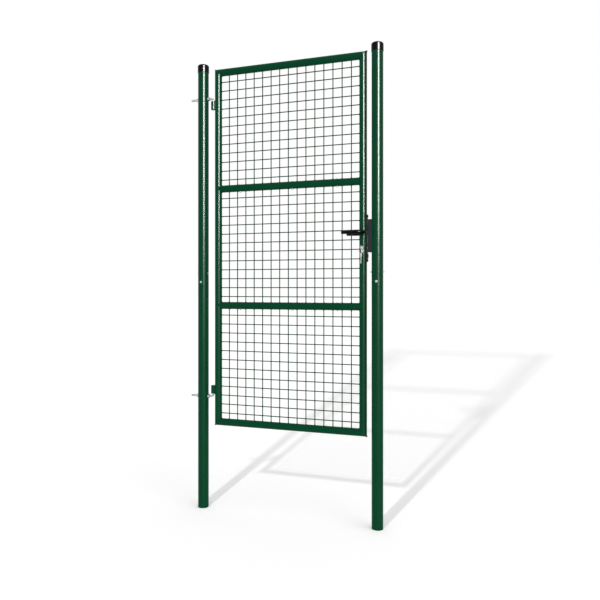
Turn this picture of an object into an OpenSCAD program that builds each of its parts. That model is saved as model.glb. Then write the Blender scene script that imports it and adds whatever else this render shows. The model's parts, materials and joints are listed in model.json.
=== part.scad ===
// Mesh garden gate: a welded mesh leaf that hangs on two pintles between two round posts.
// Millimetres, +Z up, +X from the hinge post to the latch post, the front faces -Y.
// The origin is the middle of the hinge post's foot.

/* [Leaf] */
// Width of the leaf over its stiles
leaf_w = 870; // [700:10:1200]
// Height of the leaf over its rails
leaf_h = 2002; // [1700:2:2400]
// Height of the leaf's lower edge above the feet of the posts
ground_gap = 470; // [350:10:600]
// Outer diameter of the frame tube
tube_d = 40; // [34:1:48]
// Wall of the frame tube
tube_wall = 1.5; // [1:0.1:2.5]

/* [Mesh] */
// Distance from wire to wire
mesh_pitch = 50; // [40:5:75]
// Diameter of a wire
wire_d = 5; // [3:0.5:6]
// Depth by which crossing wires are pressed into each other at their welds
weld_sink = 0.8; // [0.4:0.1:1.5]
// Sideways offset of the mesh from the middle of the leaf
mesh_shift = 3; // [-5:0.5:5]
// Drop of the level wires below the middle of each field
mesh_drop = 2; // [-5:0.5:5]

/* [Posts] */
// Outer diameter of the posts
post_d = 60; // [50:1:76]
// Wall of the post tube
post_wall = 1.5; // [1:0.1:3]
// Height of the posts above the leaf's upper edge
post_over = 28; // [10:1:100]
// Height of the joint between the two halves of a post
post_joint_z = 1250; // [1000:10:1500]
// Length of the reduced end that enters the upper half
spigot_l = 110; // [60:5:160]
// Length of the inner taper below the reduced end
swage_l = 15; // [8:1:30]
// Chamfer of both halves where they meet
joint_chamfer = 1; // [0.4:0.1:1.4]

/* [Caps] */
// Wall of a cap's skirt
cap_wall = 1.8; // [1.2:0.1:3]
// Length of the skirt over the post
cap_skirt = 36; // [25:1:60]
// Height of a cap above the end of its post
cap_rise = 7; // [5:1:25]
// Radius of a cap's upper edge
cap_round = 9; // [4:0.5:10]
// Thickness of a cap's top
cap_top_t = 2.5; // [1.5:0.5:4]

/* [Hinges] */
// Distance from the leaf's end to the middle of a hinge barrel
hinge_inset = 200; // [120:10:300]
// Outer diameter of a hinge barrel
barrel_d = 25; // [20:1:34]
// Height of a hinge barrel
barrel_h = 45; // [36:1:70]
// Diameter of the pintle's rod and pin
pintle_d = 12; // [10:1:16]
// Radius of the pintle's bend at the middle of the rod
pintle_bend = 13; // [11:1:20]
// Length of the pin inside the barrel
pin_l = 42; // [30:1:60]
// Diameter of the collar that carries the barrel
collar_d = 20; // [17:1:24]
// Thickness of that collar
collar_t = 4; // [2:0.5:8]
// Straight length of rod between the inner nut and the bend
rod_reach = 8.6; // [4:0.2:20]
// Length of rod that stands out behind the post
rod_tail = 43; // [20:1:60]
// Width of a nut across its flats
nut_af = 19; // [17:1:24]
// Thickness of a nut
nut_t = 10.8; // [8:0.2:14]

/* [Lock] */
// Height of the lever's axis above the leaf's lower edge
lever_h = 1060; // [900:10:1200]
// Distance from the lever's axis down to the lock cylinder's axis
cylinder_drop = 80; // [65:1:92]
// Thickness of the lock case inside the stile
case_t = 16; // [12:0.5:18]
// Height of the lock case
case_l = 210; // [200:1:228]
// Distance from the lever's axis down to the middle of the lock case
case_drop = 30; // [24:1:36]
// Length of the forend plate
forend_l = 246; // [240:1:300]
// Width of the forend plate
forend_w = 24; // [20:1:28]
// Thickness of the forend plate
forend_t = 3; // [2:0.5:4]
// Height of the raised pad near the forend's lower end
pad_h = 25; // [15:1:28]
// Thickness of that pad
pad_t = 4; // [2:0.5:5]
// Distance from the middle of the lock case down to the middle of that pad
pad_drop = 91.5; // [88:0.5:96]
// Width of both bolts
bolt_w = 12; // [8:0.5:13]
// Length of both bolts
bolt_l = 20; // [14:1:24]
// Height of the latch bolt
latch_h = 22; // [16:1:26]
// Distance from the lever's axis up to the middle of the latch bolt
latch_rise = 20; // [18:1:30]
// Height of the dead bolt
dead_h = 30; // [20:1:36]
// Distance from the lever's axis down to the middle of the dead bolt
dead_drop = 40; // [36:1:44]

/* [Keep] */
// Height of the keep on the latch post
keep_h = 170; // [150:1:200]
// Depth of the keep from front to back
keep_w = 35; // [30:1:44]
// Thickness of the keep between the leaf and the post
keep_t = 16.5; // [14:0.5:24]
// Distance from the lever's axis down to the middle of the keep
keep_drop = 18; // [10:1:26]
// Radius of the keep's upright edges
keep_round = 3; // [1:0.5:5]
// Depth of the keep's two pockets
pocket_depth = 11; // [8:0.5:12]
// Room round a bolt in its pocket
pocket_room = 3; // [1:0.5:4]

/* [Handle] */
// Diameter of a lever's neck
neck_d = 22; // [17:0.5:24]
// Diameter of a lever's grip at its free end
grip_end_d = 19.5; // [14:0.5:21]
// Distance from the middle of the stile to the middle of a grip
lever_out = 58; // [52:1:70]
// Length of a lever from its axis to its free end
lever_l = 102; // [85:1:125]
// Radius of a lever's bend at the middle of the bar
lever_bend = 20; // [14:0.5:24]
// Chamfer at a grip's free end
grip_chamfer = 1.5; // [0.5:0.1:3]
// Wall of the collar round a lever's neck
rose_wall = 1.8; // [1.2:0.1:4]
// Length of that collar in front of the stile
rose_out = 5; // [3:0.5:8]
// Width of the square spindle
spindle_w = 8; // [7:0.5:9]
// Depth of the spindle's end in a lever's neck
spindle_grip = 14; // [8:1:18]

/* [Cylinder and keys] */
// Length of the lock cylinder
cyl_l = 60; // [54:1:70]
// Diameter of the lock cylinder's round part
cyl_d = 17; // [16:0.5:18]
// Height of the lock cylinder's whole profile
cyl_h = 33; // [30:0.5:34]
// Width of the profile below the round part
cyl_web = 10; // [8:0.5:12]
// Length of a key's blade
blade_l = 32; // [26:1:36]
// Height of a key's blade
blade_w = 8.4; // [7:0.2:9]
// Depth of the deepest cut in a key's blade
cut_depth = 3; // [1:0.2:3.6]
// Thickness of a key
key_t = 2.2; // [1.6:0.2:2.6]
// Radius of a key's bow
bow_r = 12.5; // [10:0.5:15]
// Diameter of the hole in a key's bow
bow_hole = 6; // [5:0.2:7]
// Metal between that hole and the bow's edge
bow_rim = 2.4; // [1.8:0.2:3.4]
// Length of blade left between the cylinder and the bow
key_neck = 4; // [2:0.5:8]
// Diameter of the key ring at the middle of its wire
ring_d = 28; // [24:1:34]
// Diameter of the key ring's wire
ring_wire = 2; // [1.4:0.2:2.6]
// Turn of the hanging key about the upright
spare_turn = 30; // [0:5:35]

/* [Fits] */
// Gap left for the weld between pieces of the frame
weld_gap = 0.1; // [0.05:0.01:0.2]
// Gap between faces that rest on each other and turn
seat_gap = 0.3; // [0.2:0.05:0.5]
// Radial clearance of a pin in its barrel
pin_gap = 0.05; // [0.02:0.01:0.1]
// Clearance round parts that slide or pass through
slip_gap = 0.2; // [0.1:0.05:0.4]
// Room between the forend and the keep for the leaf to swing past
swing_gap = 5.5; // [5:0.5:10]

/* [Hidden] */
$fn = 64;
// Extra length of cutting bodies
over = 5;
octagon = 8;
hexagon = 6;
tube_r = tube_d / 2;
post_r = post_d / 2;
post_h = ground_gap + leaf_h + post_over;
spigot_r = post_r - post_wall - weld_gap;
cap_r = post_r + weld_gap + cap_wall;
// A chamfer always leaves part of the wall to bear on
joint_edge = min(joint_chamfer, 0.75 * post_wall);
// Depths of the cuts along a key's blade, as shares of the deepest
key_cuts = [0.4, 1, 0.6, 0.85, 0.3];
// Gaps between the leaf and the posts follow from what sits in them
hinge_gap = nut_t + rod_reach + pintle_bend + barrel_d / 2 + weld_gap;
latch_gap = forend_t + swing_gap + keep_t;
hinge_stile_x = post_r + hinge_gap + tube_r;
latch_stile_x = hinge_stile_x + leaf_w - tube_d;
latch_post_x = latch_stile_x + tube_r + latch_gap + post_r;
hinge_x = hinge_stile_x - tube_r - barrel_d / 2 - weld_gap;
// Heights of the rails' axes
bottom_rail_z = ground_gap + tube_r;
top_rail_z = ground_gap + leaf_h - tube_r;
rail_pitch = (top_rail_z - bottom_rail_z) / 3;
lower_rail_z = bottom_rail_z + rail_pitch;
upper_rail_z = bottom_rail_z + 2 * rail_pitch;
// Heights of the barrels and of the rods that carry them
bottom_barrel_z = ground_gap + hinge_inset;
top_barrel_z = ground_gap + leaf_h - hinge_inset;
rod_drop = barrel_h / 2 + seat_gap + collar_t + pintle_bend;
bottom_rod_z = bottom_barrel_z - rod_drop;
top_rod_z = top_barrel_z + rod_drop;
// Places of the lock's parts
lever_z = ground_gap + lever_h;
cylinder_z = lever_z - cylinder_drop;
case_z = lever_z - case_drop;
latch_z = lever_z + latch_rise;
dead_z = lever_z - dead_drop;
keep_z = lever_z - keep_drop;
forend_x = latch_stile_x + tube_r;
keep_x = forend_x + forend_t + swing_gap;
case_back = sqrt(pow(tube_r - tube_wall - slip_gap, 2) - pow(case_t / 2, 2));
spindle_hole_d = spindle_w * sqrt(2) + 2 * seat_gap;
rose_d = neck_d + 2 * seat_gap + 2 * rose_wall;
// Places of the keys
key_tip_y = cyl_l / 2 + key_neck - blade_l;
bow_hole_at = blade_l + 2 * bow_r - bow_rim - bow_hole / 2;
ring_y = -(key_tip_y + bow_hole_at);
ring_z = cylinder_z - bow_hole / 2 + ring_wire / 2 + slip_gap - ring_d / 2;
spare_hole_z = ring_z - ring_d / 2 + ring_wire / 2 + slip_gap - bow_hole / 2;
// Finishes as the eye sees them
green = "#0a4a32";
zinc = "#a3a8ac";
nickel = "#d6d4cc";
steel = "#4f5153";
black = "#141416";
slate = "#383c3e";

// Shapes that repeat

// Plain tube that stands on the XY plane
module tube(d, wall, l) {
    difference() {
        cylinder(d = d, h = l);
        translate([0, 0, -over])
            cylinder(d = d - 2 * wall, h = l + 2 * over);
    }
}

// Frame tube of length l, mitred at both ends, with its long side towards -X
module mitred_tube(l) {
    intersection() {
        translate([0, 0, -tube_d])
            tube(tube_d, tube_wall, l + 2 * tube_d);
        rotate([90, 0, 0])
            linear_extrude(height = 2 * tube_d, center = true)
                polygon([
                    [-tube_d, -tube_r],
                    [tube_d, tube_d + tube_r],
                    [tube_d, l - tube_d - tube_r],
                    [-tube_d, l + tube_r]
                ]);
    }
}

// Rail between the stiles, its ends hollowed to fit round them
module coped_rail(z) {
    translate([0, 0, z])
        difference() {
            translate([hinge_stile_x, 0, 0])
                rotate([0, 90, 0])
                    tube(tube_d, tube_wall, leaf_w - tube_d);
            for (x = [hinge_stile_x, latch_stile_x])
                translate([x, 0, 0])
                    cylinder(r = tube_r + weld_gap, h = 2 * tube_d, center = true);
        }
}

// One straight wire along +Z, eight-sided, with a flat to the front and to the back
module wire(l) {
    rotate(180 / octagon)
        cylinder(d = wire_d / cos(180 / octagon), h = l, $fn = octagon);
}

// Welded mesh between two rails: upright wires in front, level wires behind
module mesh_panel(low_z, high_z) {
    x0 = hinge_stile_x + tube_r + weld_gap;
    z0 = low_z + tube_r + weld_gap;
    w = leaf_w - 2 * tube_d - 2 * weld_gap;
    h = high_z - low_z - tube_d - 2 * weld_gap;
    columns = floor(w / mesh_pitch);
    rows = floor(h / mesh_pitch);
    first_x = x0 + (w - (columns - 1) * mesh_pitch) / 2 + mesh_shift;
    first_z = z0 + (h - (rows - 1) * mesh_pitch) / 2 - mesh_drop;
    offset_y = (wire_d - weld_sink) / 2;
    color(green)
        union() {
            for (i = [0 : columns - 1])
                translate([first_x + i * mesh_pitch, -offset_y, z0])
                    wire(h);
            for (j = [0 : rows - 1])
                translate([x0, offset_y, first_z + j * mesh_pitch])
                    rotate([0, 90, 0])
                        wire(w);
        }
}

// Lower half of a post, drawn in at its upper end
module post_lower() {
    inner_r = post_r - post_wall;
    spigot_top = post_joint_z + spigot_l;
    rotate_extrude()
        polygon([
            [inner_r, 0],
            [post_r, 0],
            [post_r, post_joint_z - joint_edge],
            [post_r - joint_edge, post_joint_z],
            [spigot_r, post_joint_z],
            [spigot_r, spigot_top],
            [spigot_r - post_wall, spigot_top],
            [spigot_r - post_wall, post_joint_z],
            [inner_r, post_joint_z - swage_l]
        ]);
}

// Upper half of a post
module post_upper() {
    inner_r = post_r - post_wall;
    rotate_extrude()
        polygon([
            [inner_r, post_joint_z],
            [post_r - joint_edge, post_joint_z],
            [post_r, post_joint_z + joint_edge],
            [post_r, post_h],
            [inner_r, post_h]
        ]);
}

// Hole through both walls of the hinge post for a pintle's rod
module rod_hole(z) {
    translate([0, 0, z])
        rotate([0, 90, 0])
            cylinder(d = pintle_d + 2 * slip_gap, h = post_d + 2 * over, center = true);
}

// Outline of a cap's half section with a round upper edge
module cap_outline(r, low, high, edge) {
    translate([0, low])
        square([r, high - low - edge]);
    translate([0, high - edge])
        square([r - edge, edge]);
    translate([r - edge, high - edge])
        intersection() {
            circle(r = edge);
            square(edge);
        }
}

// Slip-over cap that rests on the end of a post
module post_cap() {
    hollow_r = post_r - 2 * post_wall;
    hollow_edge = cap_round - cap_wall;
    color(black)
        translate([0, 0, post_h])
            rotate_extrude()
                difference() {
                    cap_outline(cap_r, -cap_skirt, cap_rise, cap_round);
                    translate([0, -cap_skirt - over])
                        square([post_r + weld_gap, cap_skirt + over]);
                    cap_outline(hollow_r, -cap_skirt, cap_rise - cap_top_t, hollow_edge);
                }
}

// Bent pintle with its pin upwards; its origin is below the pin, on the rod's axis
module pintle() {
    rod_l = hinge_x - pintle_bend + post_r + rod_tail;
    color(zinc)
        union() {
            translate([-pintle_bend, 0, 0])
                rotate([0, -90, 0])
                    cylinder(d = pintle_d, h = rod_l);
            translate([-pintle_bend, 0, pintle_bend])
                rotate([-90, 0, 0])
                    rotate_extrude(angle = 90)
                        translate([pintle_bend, 0])
                            circle(d = pintle_d);
            translate([0, 0, pintle_bend])
                cylinder(d = collar_d, h = collar_t);
            translate([0, 0, pintle_bend])
                cylinder(d = pintle_d, h = collar_t + seat_gap + pin_l);
        }
}

// Hexagon nut round the Z axis, its corners turned down at both faces
module nut() {
    flat_r = nut_af / 2;
    corner_r = flat_r / cos(180 / hexagon);
    face_z = nut_t / 2;
    edge_z = face_z - (corner_r - flat_r) * tan(30);
    difference() {
        intersection() {
            cylinder(r = corner_r, h = nut_t, center = true, $fn = hexagon);
            rotate_extrude()
                polygon([
                    [0, -face_z],
                    [flat_r, -face_z],
                    [corner_r, -edge_z],
                    [corner_r, edge_z],
                    [flat_r, face_z],
                    [0, face_z]
                ]);
        }
        cylinder(d = pintle_d + 2 * weld_gap, h = nut_t + over, center = true);
    }
}

// Nuts that clamp a rod to the post from both sides
module pintle_nuts(z) {
    color(zinc)
        for (side = [-1, 1])
            translate([side * (post_r + weld_gap + nut_t / 2), 0, z])
                rotate([0, 90, 0])
                    nut();
}

// Hinge barrel on the side of the hinge stile
module hinge_barrel(z) {
    color(green)
        translate([hinge_x, 0, z - barrel_h / 2])
            difference() {
                cylinder(d = barrel_d, h = barrel_h);
                translate([0, 0, -over])
                    cylinder(d = pintle_d + 2 * pin_gap, h = barrel_h + 2 * over);
            }
}

// Lock cylinder's profile, widened by a gap, with the key's axis at the origin
module cylinder_profile(gap) {
    web_r = cyl_web / 2 + gap;
    web_z = cyl_d / 2 - cyl_h + cyl_web / 2;
    circle(d = cyl_d + 2 * gap);
    translate([-web_r, web_z])
        square([2 * web_r, -web_z]);
    translate([0, web_z])
        circle(r = web_r);
}

// Body with the lock cylinder's profile, centred on the stile from front to back
module cylinder_body(gap, l) {
    translate([latch_stile_x, 0, cylinder_z])
        rotate([90, 0, 0])
            linear_extrude(height = l, center = true)
                cylinder_profile(gap);
}

// Round hole from front to back at the lever's axis
module lever_hole(d, l) {
    translate([latch_stile_x, 0, lever_z])
        rotate([90, 0, 0])
            cylinder(d = d, h = l, center = true);
}

// Block for a bolt, widened by a gap, behind the forend's face
module bolt_block(z, h, gap, l) {
    translate([forend_x + forend_t - l, -bolt_w / 2 - gap, z - h / 2 - gap])
        cube([l, bolt_w + 2 * gap, h + 2 * gap]);
}

// Collar that guides a lever's neck, fitted round the front of the stile
module handle_rose() {
    difference() {
        translate([latch_stile_x, 0, lever_z])
            rotate([90, 0, 0])
                difference() {
                    cylinder(d = rose_d, h = tube_r + rose_out);
                    translate([0, 0, -over])
                        cylinder(d = neck_d + 2 * seat_gap, h = tube_d + 2 * rose_out);
                }
        translate([latch_stile_x, 0, lever_z])
            cylinder(r = tube_r + weld_gap, h = 2 * rose_d, center = true);
    }
}

// Lever in front of the leaf: neck, bend and a grip that tapers towards the hinges
module lever() {
    neck_y = tube_r + seat_gap;
    straight = lever_l - lever_bend - grip_chamfer;
    color(black)
        translate([latch_stile_x, 0, lever_z])
            difference() {
                union() {
                    translate([0, -neck_y, 0])
                        rotate([90, 0, 0])
                            cylinder(d = neck_d, h = lever_out - lever_bend - neck_y);
                    translate([-lever_bend, -lever_out + lever_bend, 0])
                        rotate([0, 0, -90])
                            rotate_extrude(angle = 90)
                                translate([lever_bend, 0])
                                    circle(d = neck_d);
                    translate([-lever_bend, -lever_out, 0])
                        rotate([0, -90, 0])
                            cylinder(d1 = neck_d, d2 = grip_end_d, h = straight);
                    translate([-lever_bend - straight, -lever_out, 0])
                        rotate([0, -90, 0])
                            cylinder(d1 = grip_end_d, d2 = grip_end_d - 2 * grip_chamfer, h = grip_chamfer);
                }
                spindle_bar(slip_gap, neck_y + spindle_grip + slip_gap);
            }
}

// Square bar along the lever's axis that reaches equally far to both sides
module spindle_bar(gap, reach) {
    w = spindle_w + 2 * gap;
    translate([-w / 2, -reach, -w / 2])
        cube([w, 2 * reach, w]);
}

// Key lying flat, its tip at the origin and its bow towards +X
module key_blank() {
    tip = blade_w / 3;
    low = -blade_w / 2;
    pitch = (blade_l - key_neck - tip) / (len(key_cuts) + 1);
    linear_extrude(height = key_t, center = true)
        difference() {
            union() {
                polygon(concat(
                    [[0, -blade_w / 6], [tip, low]],
                    [for (i = [0 : len(key_cuts) - 1], step = [-1, 0, 1])
                        [
                            tip + (i + 1 + 0.4 * step) * pitch,
                            low + (1 - abs(step)) * key_cuts[i] * cut_depth
                        ]
                    ],
                    [
                        [blade_l + bow_r, low],
                        [blade_l + bow_r, blade_w / 2],
                        [tip, blade_w / 2],
                        [0, blade_w / 6]
                    ]
                ));
                translate([blade_l + bow_r, 0])
                    circle(r = bow_r);
            }
            translate([bow_hole_at, 0])
                circle(d = bow_hole);
        }
}

// Posts and what is fixed to them

module hinge_post_lower() {
    color(green)
        difference() {
            post_lower();
            rod_hole(bottom_rod_z);
        }
}

module hinge_post_upper() {
    color(green)
        difference() {
            post_upper();
            rod_hole(top_rod_z);
        }
}

module hinge_post_cap() {
    post_cap();
}

module latch_post_lower() {
    color(green)
        translate([latch_post_x, 0, 0])
            post_lower();
}

module latch_post_upper() {
    color(green)
        translate([latch_post_x, 0, 0])
            post_upper();
}

module latch_post_cap() {
    translate([latch_post_x, 0, 0])
        post_cap();
}

module top_pintle() {
    translate([hinge_x, 0, top_rod_z])
        mirror([0, 0, 1])
            pintle();
}

module bottom_pintle() {
    translate([hinge_x, 0, bottom_rod_z])
        pintle();
}

module top_pintle_nuts() {
    pintle_nuts(top_rod_z);
}

module bottom_pintle_nuts() {
    pintle_nuts(bottom_rod_z);
}

// Block on the latch post with a pocket for each bolt, hollowed at the back to fit the post
module latch_keep() {
    half = keep_w / 2;
    pocket_w = bolt_w + 2 * pocket_room;
    back_x = latch_post_x - sqrt(pow(post_r, 2) - pow(half, 2)) + over;
    color(slate)
        difference() {
            translate([0, 0, keep_z - keep_h / 2])
                linear_extrude(height = keep_h)
                    union() {
                        translate([keep_x + keep_round, -half])
                            square([back_x - keep_x - keep_round, keep_w]);
                        translate([keep_x, -half + keep_round])
                            square([keep_round, keep_w - 2 * keep_round]);
                        for (side = [-1, 1])
                            translate([keep_x + keep_round, side * (half - keep_round)])
                                circle(r = keep_round);
                    }
            translate([latch_post_x, 0, keep_z])
                cylinder(r = post_r + weld_gap, h = keep_h + 2 * over, center = true);
            for (bolt = [[latch_z, latch_h], [dead_z, dead_h]])
                translate([keep_x, 0, bolt[0]])
                    cube([2 * pocket_depth, pocket_w, bolt[1] + 2 * pocket_room], center = true);
        }
}

// Leaf and what is fixed to it

module hinge_stile() {
    color(green)
        translate([hinge_stile_x, 0, ground_gap])
            mitred_tube(leaf_h);
}

// Stile with a slot for the lock case and holes for the spindle and the lock cylinder
module latch_stile() {
    slot_w = case_t + 2 * slip_gap;
    slot_h = case_l + 2 * slip_gap;
    color(green)
        difference() {
            translate([latch_stile_x, 0, ground_gap])
                mirror([1, 0, 0])
                    mitred_tube(leaf_h);
            translate([latch_stile_x, -slot_w / 2, case_z - slot_h / 2])
                cube([tube_d, slot_w, slot_h]);
            lever_hole(spindle_hole_d, tube_d + 2 * over);
            cylinder_body(slip_gap, tube_d + 2 * over);
        }
}

module top_rail() {
    color(green)
        translate([hinge_stile_x - tube_r, 0, top_rail_z])
            rotate([0, 90, 0])
                mitred_tube(leaf_w);
}

module upper_middle_rail() {
    color(green)
        coped_rail(upper_rail_z);
}

module lower_middle_rail() {
    color(green)
        coped_rail(lower_rail_z);
}

module bottom_rail() {
    color(green)
        translate([hinge_stile_x - tube_r, 0, bottom_rail_z])
            mirror([0, 0, 1])
                rotate([0, 90, 0])
                    mitred_tube(leaf_w);
}

module top_mesh() {
    mesh_panel(upper_rail_z, top_rail_z);
}

module middle_mesh() {
    mesh_panel(lower_rail_z, upper_rail_z);
}

module bottom_mesh() {
    mesh_panel(bottom_rail_z, lower_rail_z);
}

module top_hinge_barrel() {
    hinge_barrel(top_barrel_z);
}

module bottom_hinge_barrel() {
    hinge_barrel(bottom_barrel_z);
}

// Case inside the stile, with passages for the spindle, the cylinder and both bolts
module lock_case() {
    pocket_l = bolt_l + slip_gap;
    color(slate)
        difference() {
            translate([latch_stile_x - case_back, -case_t / 2, case_z - case_l / 2])
                cube([case_back + tube_r, case_t, case_l]);
            lever_hole(spindle_hole_d, tube_d);
            cylinder_body(slip_gap, tube_d);
            bolt_block(latch_z, latch_h, slip_gap, pocket_l);
            bolt_block(dead_z, dead_h, slip_gap, pocket_l);
        }
}

// Plate that closes the slot in the stile, with a window for each bolt and a raised pad
module lock_forend() {
    pad_w = bolt_w + 2 * pocket_room;
    color(slate)
        difference() {
            union() {
                translate([forend_x, -forend_w / 2, case_z - forend_l / 2])
                    cube([forend_t, forend_w, forend_l]);
                translate([forend_x, -pad_w / 2, case_z - pad_drop - pad_h / 2])
                    cube([forend_t + pad_t, pad_w, pad_h]);
            }
            bolt_block(latch_z, latch_h, slip_gap, 2 * bolt_l);
            bolt_block(dead_z, dead_h, slip_gap, 2 * bolt_l);
        }
}

// Sprung bolt drawn back to the forend's face, with a slanted nose
module latch_bolt() {
    nose = bolt_w / 2;
    color(steel)
        translate([forend_x + forend_t - bolt_l, 0, latch_z - latch_h / 2])
            linear_extrude(height = latch_h)
                polygon([
                    [0, -bolt_w / 2],
                    [bolt_l, -bolt_w / 2],
                    [bolt_l - nose, bolt_w / 2],
                    [0, bolt_w / 2]
                ]);
}

module dead_bolt() {
    color(steel)
        bolt_block(dead_z, dead_h, 0, bolt_l);
}

module front_handle_rose() {
    color(black)
        handle_rose();
}

module back_handle_rose() {
    color(black)
        mirror([0, 1, 0])
            handle_rose();
}

// Profile cylinder through the stile, with a key slot at both ends
module lock_cylinder() {
    slot_l = blade_l - key_neck + slip_gap;
    slot_w = key_t + 2 * slip_gap;
    slot_h = blade_w + 2 * slip_gap;
    color(nickel)
        difference() {
            cylinder_body(0, cyl_l);
            for (side = [-1, 1])
                translate([latch_stile_x, side * (cyl_l - slot_l + over) / 2, cylinder_z])
                    cube([slot_w, slot_l + over - slip_gap, slot_h], center = true);
        }
}

module key() {
    color(nickel)
        translate([latch_stile_x, -key_tip_y, cylinder_z])
            rotate([0, 0, -90])
                rotate([90, 0, 0])
                    key_blank();
}

module key_ring() {
    color(nickel)
        translate([latch_stile_x, ring_y, ring_z])
            rotate([90, 0, 0])
                rotate_extrude()
                    translate([ring_d / 2, 0])
                        circle(d = ring_wire);
}

// Second key that hangs on the ring
module spare_key() {
    color(nickel)
        translate([latch_stile_x, ring_y, spare_hole_z])
            rotate([0, 0, spare_turn])
                rotate([0, -90, 0])
                    translate([-bow_hole_at, 0, 0])
                        key_blank();
}

// Handle, which turns in the leaf

module front_lever() {
    lever();
}

module back_lever() {
    mirror([0, 1, 0])
        lever();
}

module handle_spindle() {
    color(zinc)
        translate([latch_stile_x, 0, lever_z])
            spindle_bar(0, tube_r + seat_gap + spindle_grip);
}

hinge_post_lower();
hinge_post_upper();
hinge_post_cap();
latch_post_lower();
latch_post_upper();
latch_post_cap();
top_pintle();
bottom_pintle();
top_pintle_nuts();
bottom_pintle_nuts();
latch_keep();
hinge_stile();
latch_stile();
top_rail();
upper_middle_rail();
lower_middle_rail();
bottom_rail();
top_mesh();
middle_mesh();
bottom_mesh();
top_hinge_barrel();
bottom_hinge_barrel();
lock_case();
lock_forend();
latch_bolt();
dead_bolt();
front_handle_rose();
back_handle_rose();
lock_cylinder();
key();
key_ring();
spare_key();
front_lever();
back_lever();
handle_spindle();
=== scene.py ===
import json
import math

import bmesh
import bpy
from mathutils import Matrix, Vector


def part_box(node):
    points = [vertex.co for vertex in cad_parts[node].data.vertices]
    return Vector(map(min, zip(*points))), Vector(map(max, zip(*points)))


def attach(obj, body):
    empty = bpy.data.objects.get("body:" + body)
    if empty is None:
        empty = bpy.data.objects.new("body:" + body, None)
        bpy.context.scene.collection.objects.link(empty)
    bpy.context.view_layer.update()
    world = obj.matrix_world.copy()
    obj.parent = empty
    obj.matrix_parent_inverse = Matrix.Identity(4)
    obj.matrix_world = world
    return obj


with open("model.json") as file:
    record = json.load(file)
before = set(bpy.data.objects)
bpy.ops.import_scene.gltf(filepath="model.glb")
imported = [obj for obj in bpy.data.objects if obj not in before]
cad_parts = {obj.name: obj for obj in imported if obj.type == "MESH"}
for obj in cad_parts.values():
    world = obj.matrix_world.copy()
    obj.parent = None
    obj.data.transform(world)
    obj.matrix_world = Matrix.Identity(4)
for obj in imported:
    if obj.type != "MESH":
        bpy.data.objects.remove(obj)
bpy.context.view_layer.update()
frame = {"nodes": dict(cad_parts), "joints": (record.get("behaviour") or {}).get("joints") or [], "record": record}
nodes = frame["nodes"]
mm = 0.001
print("gate frame:", len(nodes), "solids")


# Places read from the solids

def middle(nodeName):
    low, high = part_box(nodeName)
    return (low + high) / 2


def jointNamed(name):
    return next(j for j in frame["joints"] if j["name"] == name)


hingePost = middle("hinge_post_lower")
latchPost = middle("latch_post_lower")
hingeStile = middle("hinge_stile")
latchStile = middle("latch_stile")
leverAxis = Vector(jointNamed("lever_turn")["pos_m"])
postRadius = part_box("latch_post_upper")[1].x - latchPost.x
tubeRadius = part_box("hinge_stile")[1].x - hingeStile.x
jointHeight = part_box("latch_post_upper")[0].z   # where the two halves of a post meet
keyHeight = middle("key").z
railNames = ("bottom_rail", "lower_middle_rail", "upper_middle_rail", "top_rail")
railHeights = {rail: middle(rail).z for rail in railNames}
meshPanels = ("top_mesh", "middle_mesh", "bottom_mesh")


# Materials

def linearColour(hexCode):   # sRGB hex to the linear values that sockets take
    channels = [int(hexCode[i:i + 2], 16) / 255 for i in (1, 3, 5)]
    return [c / 12.92 if c <= 0.04045 else ((c + 0.055) / 1.055) ** 2.4 for c in channels] + [1.0]


def addNode(tree, kind, sockets=None, **settings):   # a socket value is a constant or another node's output
    made = tree.nodes.new(kind)
    for name, value in settings.items():
        setattr(made, name, value)
    for name, value in (sockets or {}).items():
        if isinstance(value, bpy.types.NodeSocket):
            tree.links.new(value, made.inputs[name])
        else:
            made.inputs[name].default_value = value
    return made


def startMaterial(name):
    material = bpy.data.materials.new(name)
    material.use_nodes = True
    tree = material.node_tree
    tree.nodes.clear()
    place = addNode(tree, "ShaderNodeTexCoord").outputs["Object"]
    return material, tree, place


def addNoise(tree, place, size, detail=2.0):
    made = addNode(tree, "ShaderNodeTexNoise", {"Vector": place, "Scale": 1 / size, "Detail": detail})
    return made.outputs["Fac"]


def alongGrain(tree, place, scale):   # a small scale draws the noise out along that axis
    return addNode(tree, "ShaderNodeMapping", {"Vector": place, "Scale": scale}).outputs["Vector"]


def blend(tree, share, first, second):   # two hex colours, mixed by a noise
    mixed = addNode(tree, "ShaderNodeMix", {0: share, 6: linearColour(first), 7: linearColour(second)},
                    data_type="RGBA")
    return mixed.outputs[2]


noiseReach = (0.3, 0.7)   # where most values of a noise lie


def spread(tree, value, limits, reach=(0.0, 1.0)):   # maps a noise to a lower and an upper limit
    mapped = addNode(tree, "ShaderNodeMapRange",
                     {"Value": value, "From Min": reach[0], "From Max": reach[1],
                      "To Min": limits[0], "To Max": limits[1]})
    return mapped.outputs["Result"]


def relief(tree, height, strength, depth, invert=False):
    made = addNode(tree, "ShaderNodeBump", {"Strength": strength, "Distance": depth, "Height": height},
                   invert=invert)
    return made.outputs["Normal"]


def coverWith(tree, sockets):
    shader = addNode(tree, "ShaderNodeBsdfPrincipled", sockets)
    addNode(tree, "ShaderNodeOutputMaterial", {"Surface": shader.outputs["BSDF"]})


greenCoat = {
    "colour": "#013e25",
    "thinColour": "#024529",
    "cloudSize": 120 * mm,
    "cloudDetail": 3.0,
    "roughness": (0.24, 0.26),
    "specular": 0.05,
    "peelSize": 1.6 * mm,
    "peelDetail": 1.0,
    "peelStrength": 0.03,
    "peelDepth": 0.02 * mm,
}


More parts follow.
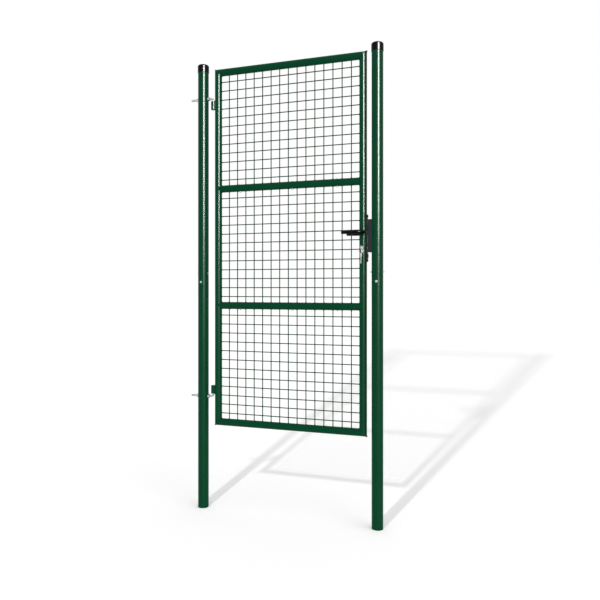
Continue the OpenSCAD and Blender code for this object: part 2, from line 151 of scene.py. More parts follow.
def powderCoat():
    # Polyester powder baked on galvanised tube: an even deep green with a satin sheen and a faint orange peel
    material, tree, place = startMaterial("polyester powder coat")
    cloud = addNoise(tree, place, greenCoat["cloudSize"], greenCoat["cloudDetail"])
    peel = addNoise(tree, place, greenCoat["peelSize"], greenCoat["peelDetail"])
    coverWith(tree, {
        "Base Color": blend(tree, cloud, greenCoat["colour"], greenCoat["thinColour"]),
        "Roughness": spread(tree, cloud, greenCoat["roughness"], noiseReach),
        "Specular IOR Level": greenCoat["specular"],
        "Normal": relief(tree, peel, greenCoat["peelStrength"], greenCoat["peelDepth"]),
    })
    return material


capPlastic = {
    "colour": "#050506",
    "flowSize": 14 * mm,
    "roughness": (0.22, 0.28),
    "specular": 0.06,
    "grainSize": 0.9 * mm,
    "grainStrength": 0.04,
    "grainDepth": 0.01 * mm,
}


def mouldedPlastic():
    # Polypropylene out of a polished mould: deep black, glossy, with the softest trace of flow in the gloss
    material, tree, place = startMaterial("moulded black polypropylene")
    flow = addNoise(tree, place, capPlastic["flowSize"])
    grain = addNoise(tree, place, capPlastic["grainSize"])
    coverWith(tree, {
        "Base Color": linearColour(capPlastic["colour"]),
        "Roughness": spread(tree, flow, capPlastic["roughness"]),
        "Specular IOR Level": capPlastic["specular"],
        "Normal": relief(tree, grain, capPlastic["grainStrength"], capPlastic["grainDepth"]),
    })
    return material


zincPlate = {
    "colour": "#d0d4d7",
    "stainColour": "#b4b9be",
    "stainSize": 6 * mm,
    "stainDetail": 4.0,
    "roughness": (0.26, 0.42),
    "drawnSize": 0.5 * mm,
    "drawnScale": (0.08, 1.0, 1.0),   # the grain runs along the rod
    "drawnStrength": 0.15,
    "drawnDepth": 0.03 * mm,
}


def brightZinc():
    # Electroplated zinc on cold drawn rod: pale blue-grey, a little cloudy, with a fine drawn grain
    material, tree, place = startMaterial("bright zinc plate")
    stain = addNoise(tree, place, zincPlate["stainSize"], zincPlate["stainDetail"])
    drawn = addNoise(tree, alongGrain(tree, place, zincPlate["drawnScale"]), zincPlate["drawnSize"])
    coverWith(tree, {
        "Base Color": blend(tree, stain, zincPlate["colour"], zincPlate["stainColour"]),
        "Metallic": 1.0,
        "Roughness": spread(tree, stain, zincPlate["roughness"], noiseReach),
        "Normal": relief(tree, drawn, zincPlate["drawnStrength"], zincPlate["drawnDepth"]),
    })
    return material


nickelPlate = {
    "colour": "#e6e5e1",
    "wearColour": "#d0cfcb",
    "brushSize": 0.35 * mm,
    "brushScale": (1.0, 1.0, 0.06),   # the brush marks stand upright
    "roughness": (0.18, 0.32),
    "brushStrength": 0.12,
    "brushDepth": 0.02 * mm,
}


def satinNickel():
    # Nickel over brass, brushed up and down: warm pale metal whose gloss breaks into upright lines
    material, tree, place = startMaterial("brushed nickel plate")
    brush = addNoise(tree, alongGrain(tree, place, nickelPlate["brushScale"]), nickelPlate["brushSize"])
    coverWith(tree, {
        "Base Color": blend(tree, brush, nickelPlate["colour"], nickelPlate["wearColour"]),
        "Metallic": 1.0,
        "Roughness": spread(tree, brush, nickelPlate["roughness"]),
        "Normal": relief(tree, brush, nickelPlate["brushStrength"], nickelPlate["brushDepth"]),
    })
    return material


slateCoat = {
    "colour": "#262a2d",
    "fleckColour": "#2f3437",
    "fleckSize": 1.1 * mm,
    "roughness": 0.42,
    "specular": 0.03,
    "fleckStrength": 0.3,
    "fleckDepth": 0.05 * mm,
}


def texturedSlate():
    # Fine textured dark grey coat on steel: matt, with a slight sparkle of lighter grains
    material, tree, place = startMaterial("fine textured grey coat")
    cells = addNode(tree, "ShaderNodeTexVoronoi", {"Vector": place, "Scale": 1 / slateCoat["fleckSize"]})
    fleck = cells.outputs["Distance"]
    coverWith(tree, {
        "Base Color": blend(tree, fleck, slateCoat["fleckColour"], slateCoat["colour"]),
        "Roughness": slateCoat["roughness"],
        "Specular IOR Level": slateCoat["specular"],
        "Normal": relief(tree, fleck, slateCoat["fleckStrength"], slateCoat["fleckDepth"], invert=True),
    })
    return material


handleCoat = {
    "colour": "#060607",
    "handledColour": "#0c0c0d",
    "rubSize": 25 * mm,
    "rubDetail": 3.0,
    "roughness": (0.24, 0.4),
    "specular": 0.04,
    "poreSize": 0.8 * mm,
    "poreStrength": 0.15,
    "poreDepth": 0.02 * mm,
}


def blackHandleCoat():
    # Black coat on cast aluminium: smooth, and a touch shinier where hands would rub it
    material, tree, place = startMaterial("black coated aluminium")
    rub = addNoise(tree, place, handleCoat["rubSize"], handleCoat["rubDetail"])
    pores = addNoise(tree, place, handleCoat["poreSize"])
    coverWith(tree, {
        "Base Color": blend(tree, rub, handleCoat["colour"], handleCoat["handledColour"]),
        "Roughness": spread(tree, rub, handleCoat["roughness"], noiseReach),
        "Specular IOR Level": handleCoat["specular"],
        "Normal": relief(tree, pores, handleCoat["poreStrength"], handleCoat["poreDepth"]),
    })
    return material


boltSteel = {
    "colour": "#4a4c4e",
    "markColour": "#3a3c3e",
    "markSize": 0.4 * mm,
    "markScale": (0.1, 0.1, 1.0),   # the grinding marks lie level
    "metallic": 0.8,
    "roughness": (0.35, 0.5),
}


def groundSteel():
    # Ground tool steel: dull dark grey, crossed by fine level grinding marks
    material, tree, place = startMaterial("ground steel")
    marks = addNoise(tree, alongGrain(tree, place, boltSteel["markScale"]), boltSteel["markSize"])
    coverWith(tree, {
        "Base Color": blend(tree, marks, boltSteel["colour"], boltSteel["markColour"]),
        "Metallic": boltSteel["metallic"],
        "Roughness": spread(tree, marks, boltSteel["roughness"]),
    })
    return material


screwPlate = {
    "colour": "#17181a",
    "smutSize": 2 * mm,
    "smutDetail": 3.0,
    "metallic": 0.6,
    "roughness": (0.3, 0.5),
}


def blackenedScrew():
    # Black zinc on a screw: nearly black metal with a dull gleam on its edges
    material, tree, place = startMaterial("black zinc plate")
    smut = addNoise(tree, place, screwPlate["smutSize"], screwPlate["smutDetail"])
    coverWith(tree, {
        "Base Color": linearColour(screwPlate["colour"]),
        "Metallic": screwPlate["metallic"],
        "Roughness": spread(tree, smut, screwPlate["roughness"]),
    })
    return material


finishes = {
    "green_coat": powderCoat(),
    "cap_plastic": mouldedPlastic(),
    "zinc_steel": brightZinc(),
    "slate_coat": texturedSlate(),
    "nickel": satinNickel(),
    "bolt_steel": groundSteel(),
    "handle_black": blackHandleCoat(),
}
blackZinc = blackenedScrew()
bareMetals = [finishes["zinc_steel"], finishes["nickel"], finishes["bolt_steel"], blackZinc]

for part in frame["record"]["subparts"]:
    mesh = nodes[part["node"]].data
    mesh.materials.clear()
    mesh.materials.append(finishes[part["material_slot"]])


# Small tools for modelling

mergeDistance = 0.01 * mm
faceLimit = 0.9   # a face looks up or down where its normal rises or falls by more than this
facing = {        # turns of a piece that is modelled looking up
    "up": (0, 0, 0),
    "down": (math.pi, 0, 0),
    "front": (math.pi / 2, 0, 0),
    "left": (0, -math.pi / 2, 0),
    "right": (0, math.pi / 2, 0),
}


def clearSelection():
    bpy.ops.object.select_all(action="DESELECT")


def looksUp(face):
    return face.normal.z > faceLimit


def looksDown(face):
    return face.normal.z < -faceLimit


def pick(kind, test):   # in edit mode: select the verts, edges or faces that pass a test
    bpy.ops.mesh.select_mode(type={"verts": "VERT", "edges": "EDGE", "faces": "FACE"}[kind])
    bpy.ops.mesh.select_all(action="DESELECT")
    mesh = bmesh.from_edit_mesh(bpy.context.object.data)
    for item in getattr(mesh, kind):
        if test(item):
            item.select_set(True)
    mesh.select_flush_mode()
    bmesh.update_edit_mesh(bpy.context.object.data)


def applyModifier(kind, **settings):
    modifier = bpy.context.object.modifiers.new(kind.title(), kind)
    for name, value in settings.items():
        setattr(modifier, name, value)
    bpy.ops.object.modifier_apply(modifier=modifier.name)


def tidyNormals():
    bpy.ops.object.mode_set(mode="EDIT")
    bpy.ops.mesh.select_all(action="SELECT")
    bpy.ops.mesh.remove_doubles(threshold=mergeDistance)
    bpy.ops.mesh.normals_make_consistent(inside=False)
    bpy.ops.object.mode_set(mode="OBJECT")


def placedCopy(source, location, turn=facing["up"]):   # a copy whose place and turn go into its own mesh
    copy = source.copy()
    copy.data = source.data.copy()
    bpy.context.collection.objects.link(copy)
    clearSelection()
    copy.select_set(True)
    bpy.context.view_layer.objects.active = copy
    copy.rotation_euler = turn
    copy.location = location
    bpy.ops.object.transform_apply(location=True, rotation=True, scale=True)
    return copy


def joinPieces(pieces, name, body, material, smoothAngle=35):
    clearSelection()
    for piece in pieces:
        piece.select_set(True)
    bpy.context.view_layer.objects.active = pieces[0]
    if len(pieces) > 1:
        bpy.ops.object.join()
    joined = bpy.context.object
    joined.name = name
    joined.data.materials.clear()
    joined.data.materials.append(material)
    bpy.ops.object.shade_smooth_by_angle(angle=math.radians(smoothAngle))
    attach(joined, body)
    print("made", name, "with", len(joined.data.polygons), "faces")
    return joined


def discard(*sources):
    for source in sources:
        bpy.data.objects.remove(source)


# Weld beads of the leaf's frame

frameBead = {
    "radius": 2.0 * mm,
    "sides": 10,
    "rings": 96,
    "rippleEvery": 3,
    "ripple": 0.3 * mm,
    "mirrorMerge": 0.05 * mm,
}


def mitreBead():   # bead round a mitred corner, in the plane from the upper left to the lower right
    clearSelection()
    bpy.ops.mesh.primitive_torus_add(major_segments=frameBead["rings"], minor_segments=frameBead["sides"],
                                     major_radius=tubeRadius, minor_radius=frameBead["radius"])
    bpy.ops.object.mode_set(mode="EDIT")
    pick("verts", lambda v: v.index // frameBead["sides"] % frameBead["rippleEvery"] == 0)
    bpy.ops.transform.shrink_fatten(value=-frameBead["ripple"])
    bpy.ops.mesh.select_all(action="SELECT")
    bpy.ops.transform.resize(value=(math.sqrt(2), 1, 1))   # the cut through a round tube is an ellipse
    bpy.ops.object.mode_set(mode="OBJECT")
    bead = bpy.context.object
    bead.rotation_euler = (0, math.radians(45), 0)
    bpy.ops.object.transform_apply(location=True, rotation=True, scale=True)
    return bead


def copeBead(mitre):   # bead where a middle rail meets a stile: two mirrored halves of the mitre's
    bead = placedCopy(mitre, (0, 0, 0))
    bpy.ops.object.mode_set(mode="EDIT")
    bpy.ops.mesh.select_all(action="SELECT")
    bpy.ops.mesh.bisect(plane_co=(0, 0, 0), plane_no=(0, 0, 1), clear_outer=True)
    bpy.ops.object.mode_set(mode="OBJECT")
    applyModifier("MIRROR", use_axis=(False, False, True), merge_threshold=frameBead["mirrorMerge"])
    tidyNormals()
    return bead


mitre = mitreBead()
cope = copeBead(mitre)
halfTurn = (0, 0, math.pi)
beads = []
for stile, turned in ((hingeStile, False), (latchStile, True)):
    for rail, height in railHeights.items():
        source = cope if "middle" in rail else mitre
        flip = turned != (rail == "bottom_rail")
        beads.append(placedCopy(source, (stile.x, 0, height), halfTurn if flip else facing["up"]))
discard(mitre, cope)
joinPieces(beads, "frame_weld_beads", "leaf", finishes["green_coat"])


# Weld beads between the hinge barrels and the stile

barrelBead = {
    "radius": 3.4 * mm,
    "sides": 12,
    "sideways": 7.6 * mm,
    "endRoom": 2.5 * mm,
    "cuts": 23,
    "ripple": 0.45 * mm,
    "endTaper": 0.6,
}


def straightBead(length):
    clearSelection()
    bpy.ops.mesh.primitive_cylinder_add(vertices=barrelBead["sides"], radius=barrelBead["radius"],
                                        depth=length)
    bpy.ops.object.mode_set(mode="EDIT")
    pick("edges", lambda e: abs(e.verts[0].co.z - e.verts[1].co.z) > length / 2)
    bpy.ops.mesh.subdivide(number_cuts=barrelBead["cuts"])
    step = length / (barrelBead["cuts"] + 1)
    pick("verts", lambda v: round((v.co.z + length / 2) / step) % 2 == 1)
    bpy.ops.transform.shrink_fatten(value=-barrelBead["ripple"])
    for endFace in (looksDown, looksUp):
        pick("faces", endFace)
        bpy.ops.transform.resize(value=(barrelBead["endTaper"], barrelBead["endTaper"], 1),
                                 center_override=(0, 0, 0))
    bpy.ops.object.mode_set(mode="OBJECT")
    return bpy.context.object


beads = []
for barrel in ("top_hinge_barrel", "bottom_hinge_barrel"):
    low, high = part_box(barrel)
    bead = straightBead(high.z - low.z - 2 * barrelBead["endRoom"])
    for side in (-1, 1):
        beads.append(placedCopy(bead, (high.x, side * barrelBead["sideways"], (low.z + high.z) / 2)))
    discard(bead)
joinPieces(beads, "hinge_weld_beads", "leaf", finishes["green_coat"])


# Welds where the wires end on the tubes

wireWeld = {
    "radius": 4.4 * mm,
    "height": 2.8 * mm,
    "segments": 8,
    "rings": 6,
    "endReach": 0.01 * mm,   # how near its end a wire's points are looked for
    "wireGap": 10 * mm,      # points further apart are on different wires
}


def weldNub():   # a low dome with its axis along +Z
    clearSelection()
    bpy.ops.mesh.primitive_uv_sphere_add(segments=wireWeld["segments"], ring_count=wireWeld["rings"],
                                         radius=wireWeld["radius"])
    bpy.ops.object.mode_set(mode="EDIT")
    bpy.ops.mesh.select_all(action="SELECT")
    bpy.ops.mesh.bisect(plane_co=(0, 0, -wireWeld["radius"] / 2), plane_no=(0, 0, 1),
                        clear_inner=True, use_fill=True)
    bpy.ops.mesh.select_all(action="SELECT")
    bpy.ops.transform.resize(value=(1, 1, wireWeld["height"] / wireWeld["radius"]))
    bpy.ops.object.mode_set(mode="OBJECT")
    return bpy.context.object


def wirePlaces(panel, axis, endAxis):   # middles of the wires that end on a panel's lower side
    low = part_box(panel)[0]
    limit = low[endAxis] + wireWeld["endReach"]
    spots = sorted(v.co[axis] for v in nodes[panel].data.vertices if v.co[endAxis] < limit)
    places = [[spots[0]]]
    for spot in spots[1:]:
        if spot - places[-1][-1] > wireWeld["wireGap"]:
            places.append([])
        places[-1].append(spot)
    return [(group[0] + group[-1]) / 2 for group in places]


nub = weldNub()
nubs = []
for panel in meshPanels:
    low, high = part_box(panel)
    quarter = (high.y - low.y) / 4   # the uprights fill the front half of the panel, the level wires the back
    for x in wirePlaces(panel, 0, 2):
        nubs.append(placedCopy(nub, (x, -quarter, low.z)))
        nubs.append(placedCopy(nub, (x, -quarter, high.z), facing["down"]))
    for z in wirePlaces(panel, 2, 0):
        nubs.append(placedCopy(nub, (low.x, quarter, z), facing["right"]))
        nubs.append(placedCopy(nub, (high.x, quarter, z), facing["left"]))
discard(nub)
wireEnds = joinPieces(nubs, "wire_end_welds", "leaf", finishes["green_coat"], smoothAngle=60)


# Screws that hold the two halves of each post together, and bolts of the same head in the middle rails

jointScrew = {
    "headAcross": 8 * mm,
    "headHeight": 4.2 * mm,
    "headRound": 0.5 * mm,
    "dishRim": 1.0 * mm,
    "dishDepth": 0.6 * mm,
    "topReach": 0.1 * mm,   # how near the top its face is looked for
    "flangeRadius": 6.4 * mm,
    "flangeHeight": 1.3 * mm,
    "flangeSides": 24,
    "flangeRim": 0.9 * mm,
    "flangeRise": 0.5 * mm,
    "frontRise": 26 * mm,
    "sideRise": 75 * mm,
}


def flangedScrew():   # hexagon head on a round flange, facing +Z, seated at the origin
    clearSelection()
    bpy.ops.mesh.primitive_cylinder_add(vertices=jointScrew["flangeSides"], radius=jointScrew["flangeRadius"],
                                        depth=2 * jointScrew["flangeHeight"])
    bpy.ops.object.mode_set(mode="EDIT")
    pick("faces", looksUp)
    bpy.ops.mesh.inset(thickness=jointScrew["flangeRim"])
    bpy.ops.transform.translate(value=(0, 0, jointScrew["flangeRise"]))
    bpy.ops.mesh.select_all(action="DESELECT")
    top = jointScrew["flangeHeight"] + jointScrew["headHeight"]
    topLimit = top - jointScrew["topReach"]
    bpy.ops.mesh.primitive_cylinder_add(vertices=6, radius=jointScrew["headAcross"] / math.sqrt(3),
                                        depth=jointScrew["headHeight"],
                                        location=(0, 0, top - jointScrew["headHeight"] / 2))
    pick("faces", lambda f: looksUp(f) and f.calc_center_median().z > topLimit)
    bpy.ops.mesh.bevel(offset=jointScrew["headRound"], segments=2, affect="EDGES")
    pick("faces", lambda f: looksUp(f) and f.calc_center_median().z > topLimit)
    bpy.ops.mesh.inset(thickness=jointScrew["dishRim"])
    bpy.ops.transform.translate(value=(0, 0, -jointScrew["dishDepth"]))   # dished top of a cold formed head
    bpy.ops.object.mode_set(mode="OBJECT")
    return bpy.context.object


screw = flangedScrew()
screws = []
for post in (hingePost, latchPost):
    frontSpot = (post.x, -postRadius, jointHeight + jointScrew["frontRise"])
    screws.append(placedCopy(screw, frontSpot, facing["front"]))
    for side, turn in ((-1, facing["left"]), (1, facing["right"])):
        sideSpot = (post.x + side * postRadius, 0, jointHeight + jointScrew["sideRise"])
        screws.append(placedCopy(screw, sideSpot, turn))
joinPieces(screws, "post_joint_screws", "posts", finishes["zinc_steel"], smoothAngle=30)

railBolt = {
    "places": (135 * mm, 441 * mm, 692 * mm),   # from the middle of the hinge stile
}

heads = []
for rail in ("lower_middle_rail", "upper_middle_rail"):   # bolts straight down through both middle rails
    for place in railBolt["places"]:
        for end, turn in ((-1, facing["down"]), (1, facing["up"])):
            spot = (hingeStile.x + place, 0, railHeights[rail] + end * tubeRadius)
            heads.append(placedCopy(screw, spot, turn))
discard(screw)
joinPieces(heads, "rail_bolts", "leaf", finishes["zinc_steel"], smoothAngle=30)


# Cross-slotted screws of the forend, the keep and the lock cylinder

slottedScrew = {
    "sides": 28,
    "edgeSteps": 5,
    "slotWidth": 1.1 * mm,
    "slotReach": 0.62,   # share of the head's radius
    "slotDepth": 1.3 * mm,
    "floorShare": (0.55, 0.7, 1),   # the recess narrows towards its floor
}


def crossScrew(radius, height, edgeRound):   # head facing +Z, its seat at the origin
    clearSelection()
    bpy.ops.mesh.primitive_cylinder_add(vertices=slottedScrew["sides"], radius=radius, depth=2 * height)
    bpy.ops.object.mode_set(mode="EDIT")
    pick("edges", lambda e: all(v.co.z > 0 for v in e.verts))
    bpy.ops.mesh.bevel(offset=edgeRound, segments=slottedScrew["edgeSteps"], affect="EDGES")
    bpy.ops.object.mode_set(mode="OBJECT")
    head = bpy.context.object
    clearSelection()
    reach = 2 * radius * slottedScrew["slotReach"]
    bpy.ops.mesh.primitive_cube_add(size=1, location=(0, 0, height))
    bpy.ops.object.mode_set(mode="EDIT")
    bpy.ops.mesh.select_all(action="SELECT")
    bpy.ops.transform.resize(value=(reach, slottedScrew["slotWidth"], 2 * slottedScrew["slotDepth"]))
    pick("faces", looksDown)
    bpy.ops.transform.resize(value=slottedScrew["floorShare"])
    bpy.ops.mesh.select_all(action="SELECT")
    bpy.ops.mesh.duplicate()
    bpy.ops.transform.rotate(value=math.pi / 2, orient_axis="Z", center_override=(0, 0, height))
    bpy.ops.object.mode_set(mode="OBJECT")
    cutter = bpy.context.object
    bpy.ops.object.transform_apply(location=True, rotation=True, scale=True)
    clearSelection()
    head.select_set(True)
    bpy.context.view_layer.objects.active = head
    applyModifier("BOOLEAN", object=cutter, operation="DIFFERENCE", use_self=True)
    discard(cutter)
    tidyNormals()
    return head


forendScrew = {"radius": 6.5 * mm, "height": 4.4 * mm, "edgeRound": 3.2 * mm}
forendEndRoom = 8.5 * mm
low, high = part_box("lock_forend")
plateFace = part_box("latch_bolt")[1].x   # the drawn bolt lies flush with the plate
domed = crossScrew(**forendScrew)
screws = []
for z in (low.z + forendEndRoom, high.z - forendEndRoom):
    screws.append(placedCopy(domed, (plateFace, 0, z), facing["right"]))
discard(domed)
joinPieces(screws, "forend_screws", "leaf", blackZinc, smoothAngle=40)

keepScrew = {"radius": 4.2 * mm, "height": 0.35 * mm, "edgeRound": 0.3 * mm}
keepScrewRoom = 11 * mm
low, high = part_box("latch_keep")
sunk = crossScrew(**keepScrew)
screws = []
for z in (low.z + keepScrewRoom, high.z - keepScrewRoom):
    screws.append(placedCopy(sunk, (low.x, 0, z), facing["left"]))
joinPieces(screws, "keep_screws", "posts", finishes["zinc_steel"], smoothAngle=40)

fixingScrew = placedCopy(sunk, (plateFace, 0, keyHeight), facing["right"])
discard(sunk)
joinPieces([fixingScrew], "cylinder_fixing_screw", "leaf", finishes["nickel"], smoothAngle=40)


# Rolled threads of the pintle rods

rodThread = {
    "pitch": 1.75 * mm,
    "crest": 0.5 * mm,   # stands proud of the plain rod so that the turns show
    "profile": 0.52,     # radius of the ridge's triangle, as a share of the pitch
    "steps": 20,
    "frontLength": 6 * mm,
}


def threadRidge(length, rodRadius):   # helical ridge along +X from the origin
    clearSelection()
    bpy.ops.mesh.primitive_circle_add(vertices=3, radius=rodThread["pitch"] * rodThread["profile"],
                                      fill_type="NOTHING", rotation=(math.pi / 2, 0, 0))
    bpy.ops.object.transform_apply(location=True, rotation=True, scale=True)
    ridge = bpy.context.object
    tip = max(v.co.z for v in ridge.data.vertices)
    bpy.ops.object.mode_set(mode="EDIT")
    bpy.ops.mesh.select_all(action="SELECT")
    bpy.ops.transform.translate(value=(0, 0, rodRadius + rodThread["crest"] - tip))
    bpy.ops.object.mode_set(mode="OBJECT")
    turns = int(length / rodThread["pitch"])
    applyModifier("SCREW", axis="X", angle=2 * math.pi, screw_offset=rodThread["pitch"], iterations=turns,
                  steps=rodThread["steps"], render_steps=rodThread["steps"], use_merge_vertices=False)
    bpy.ops.object.mode_set(mode="EDIT")
    bpy.ops.mesh.select_mode(type="VERT")
    bpy.ops.mesh.select_all(action="DESELECT")
    bpy.ops.mesh.select_non_manifold()
    bpy.ops.mesh.fill_holes(sides=4)
    bpy.ops.object.mode_set(mode="OBJECT")
    tidyNormals()
    return ridge


threads = []
for pintle in ("top_pintle", "bottom_pintle"):
    rodZ = middle(pintle + "_nuts").z
    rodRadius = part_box(pintle)[1].z - rodZ if pintle == "top_pintle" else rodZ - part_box(pintle)[0].z
    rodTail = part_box(pintle)[0].x
    nutLow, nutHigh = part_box(pintle + "_nuts")
    for start, length in ((rodTail, nutLow.x - rodTail), (nutHigh.x, rodThread["frontLength"])):
        ridge = threadRidge(length - rodThread["pitch"], rodRadius)
        threads.append(placedCopy(ridge, (start + rodThread["pitch"] / 2, 0, rodZ)))
        discard(ridge)
joinPieces(threads, "pintle_threads", "posts", finishes["zinc_steel"], smoothAngle=20)


# Grub screws under the necks of both levers

grubScrew = {
    "radius": 3 * mm,
    "sides": 18,
    "length": 4 * mm,
    "proud": 0.4 * mm,
    "socketRim": 1.1 * mm,
    "socketDepth": 1.6 * mm,
    "socketTaper": 0.8,
    "neckPlace": 30 * mm,   # from the middle of the stile
}


def socketScrew():   # facing -Z, seated at the origin
    clearSelection()
    bpy.ops.mesh.primitive_cylinder_add(vertices=grubScrew["sides"], radius=grubScrew["radius"],
                                        depth=grubScrew["length"],
                                        location=(0, 0, grubScrew["length"] / 2 - grubScrew["proud"]))
    bpy.ops.object.transform_apply(location=True, rotation=True, scale=True)
    bpy.ops.object.mode_set(mode="EDIT")
    pick("faces", looksDown)
    bpy.ops.mesh.inset(thickness=grubScrew["socketRim"])
    bpy.ops.mesh.extrude_region_move(TRANSFORM_OT_translate={"value": (0, 0, grubScrew["socketDepth"])})
    bpy.ops.transform.resize(value=(grubScrew["socketTaper"], grubScrew["socketTaper"], 1))
    bpy.ops.object.mode_set(mode="OBJECT")
    return bpy.context.object


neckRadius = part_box("front_lever")[1].z - leverAxis.z
grub = socketScrew()
screws = []
for side in (-1, 1):
    spot = (leverAxis.x, side * grubScrew["neckPlace"], leverAxis.z - neckRadius)
    screws.append(placedCopy(grub, spot))
discard(grub)
joinPieces(screws, "lever_grub_screws", "handle", blackZinc, smoothAngle=30)


# Rim of the turning plug on both faces of the lock cylinder

plugRim = {
    "radius": 6.4 * mm,
    "wire": 0.45 * mm,
    "segments": 40,
    "sides": 8,
    "flatten": 0.7,
}


def plugRing():
    clearSelection()
    bpy.ops.mesh.primitive_torus_add(major_segments=plugRim["segments"], minor_segments=plugRim["sides"],
                                     major_radius=plugRim["radius"], minor_radius=plugRim["wire"])
    bpy.ops.object.mode_set(mode="EDIT")
    bpy.ops.mesh.select_all(action="SELECT")
    bpy.ops.transform.resize(value=(1, 1, plugRim["flatten"]))
    bpy.ops.object.mode_set(mode="OBJECT")
    return bpy.context.object


low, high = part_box("lock_cylinder")
ring = plugRing()
rims = [placedCopy(ring, (latchStile.x, y, keyHeight), facing["front"]) for y in (low.y, high.y)]
discard(ring)
joinPieces(rims, "cylinder_plug_rims", "leaf", finishes["nickel"])


# Camera

view = {
    "place": (1.6023, -3.0754, 1.2395),
    "turn": 18.408,        # degrees to the left of +Y
    "focalPixels": 602.06,
    "imageSize": 600,
    "horizonLift": 11.56,  # pixels by which the horizon lies above the middle of the image
    "sensorWidth": 36,
}

bpy.ops.object.camera_add(location=view["place"], rotation=(math.pi / 2, 0, math.radians(view["turn"])))
camera = bpy.context.object
camera.data.sensor_width = view["sensorWidth"]
camera.data.lens = view["focalPixels"] / view["imageSize"] * camera.data.sensor_width
camera.data.shift_y = -view["horizonLift"] / view["imageSize"]
bpy.context.scene.camera = camera
print("camera set, lens", round(camera.data.lens, 2))


# Studio: white floor and surround, a small key lamp, two soft fill lamps and two panels for the gloss

studio = {
    "keyPlace": (0.24, -4.88, 3.8),
    "keyPower": 2000,      # watts, reached at keyReach
    "keyReach": 10.2,
    "keyGrowth": 3.0,      # power of the distance with which it grows
    "keyRadius": 0.11,     # metres, for the edge of the shadow
    "fillStrength": 0.8,
    "fillSide": 75,        # sides in degrees from the front, towards the latch post
    "backStrength": 1.6,
    "backSide": 232,
    "fillHeight": 30,
    "fillSpread": 60,
    "fillDistance": 6,
    "surround": 0.57,
    "floorColour": "#f6f6f6",
    "floorLift": 1.29,     # brings the lit floor to the white of the background
    "floorSize": 160,
    "panelSide": 36.5,
    "panelDistance": 16,
    "panelWidth": 4.4,
    "panelBottom": 3.6,
    "panelHeight": 8,
    "coatRadiance": 470,
    "metalRadiance": 9,
}


def seenDirectly(tree):   # 1 for the camera, mirror and glass rays that show the plain white background
    path = addNode(tree, "ShaderNodeLightPath")
    first = addNode(tree, "ShaderNodeMath",
                    {0: path.outputs["Is Camera Ray"], 1: path.outputs["Is Glossy Ray"]}, operation="ADD")
    both = addNode(tree, "ShaderNodeMath", {0: first.outputs[0], 1: path.outputs["Is Transmission Ray"]},
                   operation="ADD", use_clamp=True)
    return both.outputs[0]


def outward(side, height=0):   # direction from the gate, turned from the front towards the latch post
    turn, rise = math.radians(side), math.radians(height)
    return Vector((math.sin(turn) * math.cos(rise), -math.cos(turn) * math.cos(rise), math.sin(rise)))


def linkLamp(lamp, pieces, state):   # the lamp reaches only these pieces, or passes over them
    listed = bpy.data.collections.new("pieces of " + lamp.name)
    for piece in pieces:
        listed.objects.link(piece)
    lamp.light_linking.receiver_collection = listed
    for item in listed.collection_objects:
        item.light_linking.link_state = state


def studioFloor():
    # Matt white paper: even, and bright enough to meet the background without an edge
    material, tree, _ = startMaterial("matt white paper")
    paper = linearColour(studio["floorColour"])
    lifted = [c * studio["floorLift"] for c in paper[:3]] + [1.0]
    tone = addNode(tree, "ShaderNodeMix", {0: seenDirectly(tree), 6: paper, 7: lifted}, data_type="RGBA",
                   clamp_result=False)
    shader = addNode(tree, "ShaderNodeBsdfDiffuse", {"Color": tone.outputs[2]})
    addNode(tree, "ShaderNodeOutputMaterial", {"Surface": shader.outputs[0]})
    clearSelection()
    bpy.ops.mesh.primitive_plane_add(size=studio["floorSize"], location=(0, 0, 0))
    floor = bpy.context.object
    floor.name = "studio_floor"
    floor.data.materials.append(material)
    return floor


def keyLamp():   # small lamp in front of the gate that grows with distance, so the whole floor is lit evenly
    bpy.ops.object.light_add(type="POINT", location=studio["keyPlace"])
    lamp = bpy.context.object
    lamp.visible_glossy = False
    lamp.data.energy = studio["keyPower"]
    lamp.data.shadow_soft_size = studio["keyRadius"]
    lamp.data.use_nodes = True
    tree = lamp.data.node_tree
    tree.nodes.clear()
    length = addNode(tree, "ShaderNodeLightPath").outputs["Ray Length"]
    share = addNode(tree, "ShaderNodeMath", {0: length, 1: studio["keyReach"]}, operation="DIVIDE")
    grown = addNode(tree, "ShaderNodeMath", {0: share.outputs[0], 1: studio["keyGrowth"]}, operation="POWER")
    glow = addNode(tree, "ShaderNodeEmission", {"Strength": grown.outputs[0]})
    addNode(tree, "ShaderNodeOutputLight", {"Surface": glow.outputs[0]})


def fillLamp(side, strength):   # very wide and soft
    towards = outward(side, studio["fillHeight"])
    aim = (-towards).to_track_quat("-Z", "Y").to_euler()
    bpy.ops.object.light_add(type="SUN", location=towards * studio["fillDistance"], rotation=aim)
    lamp = bpy.context.object
    lamp.data.energy = strength
    lamp.data.angle = math.radians(studio["fillSpread"])
    lamp.visible_glossy = False
    return lamp


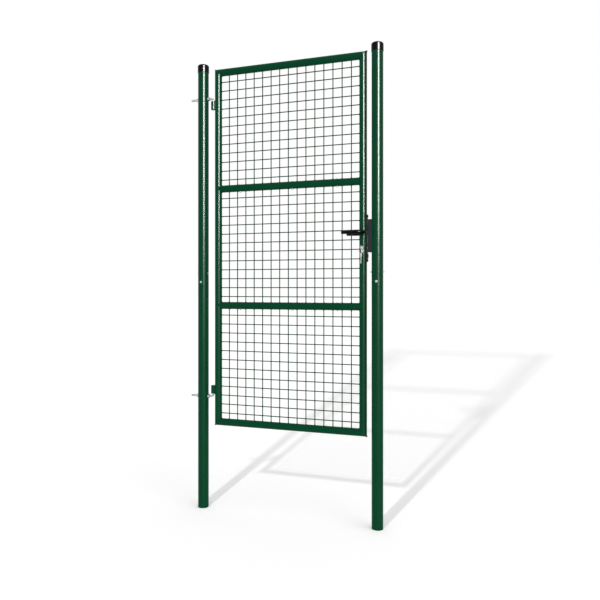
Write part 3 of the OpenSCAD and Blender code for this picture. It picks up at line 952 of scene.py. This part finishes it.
def shinePanel(side, radiance):   # tall panel that only shows in the gloss, as the bright line down the tubes
    centre = Vector((latchPost.x / 2, 0, studio["panelBottom"] + studio["panelHeight"] / 2))
    bpy.ops.object.light_add(type="AREA", location=centre + outward(side) * studio["panelDistance"],
                             rotation=(math.pi / 2, 0, math.radians(side)))
    panel = bpy.context.object
    panel.data.shape = "RECTANGLE"
    panel.data.size = studio["panelWidth"]
    panel.data.size_y = studio["panelHeight"]
    panel.data.energy = radiance * math.pi * studio["panelWidth"] * studio["panelHeight"]
    panel.visible_camera = False
    panel.visible_diffuse = False
    return panel


def whiteSurround():
    world = bpy.data.worlds.new("white surround")
    bpy.context.scene.world = world
    world.use_nodes = True
    tree = world.node_tree
    tree.nodes.clear()
    soft = addNode(tree, "ShaderNodeBackground", {"Color": (1, 1, 1, 1), "Strength": studio["surround"]})
    white = addNode(tree, "ShaderNodeBackground", {"Color": (1, 1, 1, 1), "Strength": 1.0})
    mixed = addNode(tree, "ShaderNodeMixShader",
                    {0: seenDirectly(tree), 1: soft.outputs[0], 2: white.outputs[0]})
    addNode(tree, "ShaderNodeOutputWorld", {"Surface": mixed.outputs[0]})


floor = studioFloor()
keyLamp()
fillLamp(studio["fillSide"], studio["fillStrength"])
backLamp = fillLamp(studio["backSide"], studio["backStrength"])
linkLamp(backLamp, [floor], "EXCLUDE")   # no second shadow on the floor
dressed = [piece for piece in bpy.context.scene.objects if piece.type == "MESH" and piece.data.materials]
plated = [piece for piece in dressed if piece.data.materials[0] in bareMetals]
wires = [nodes[name] for name in meshPanels] + [wireEnds]
rails = [nodes[name] for name in railNames]
coatPanel = shinePanel(studio["panelSide"], studio["coatRadiance"])
linkLamp(coatPanel, plated + wires + rails + [floor], "EXCLUDE")   # these would glare in it from behind
metalPanel = shinePanel(studio["panelSide"], studio["metalRadiance"])
linkLamp(metalPanel, plated, "INCLUDE")
whiteSurround()
bpy.context.scene.view_settings.view_transform = "Standard"
print("studio lit")

bpy.context.view_layer.update()
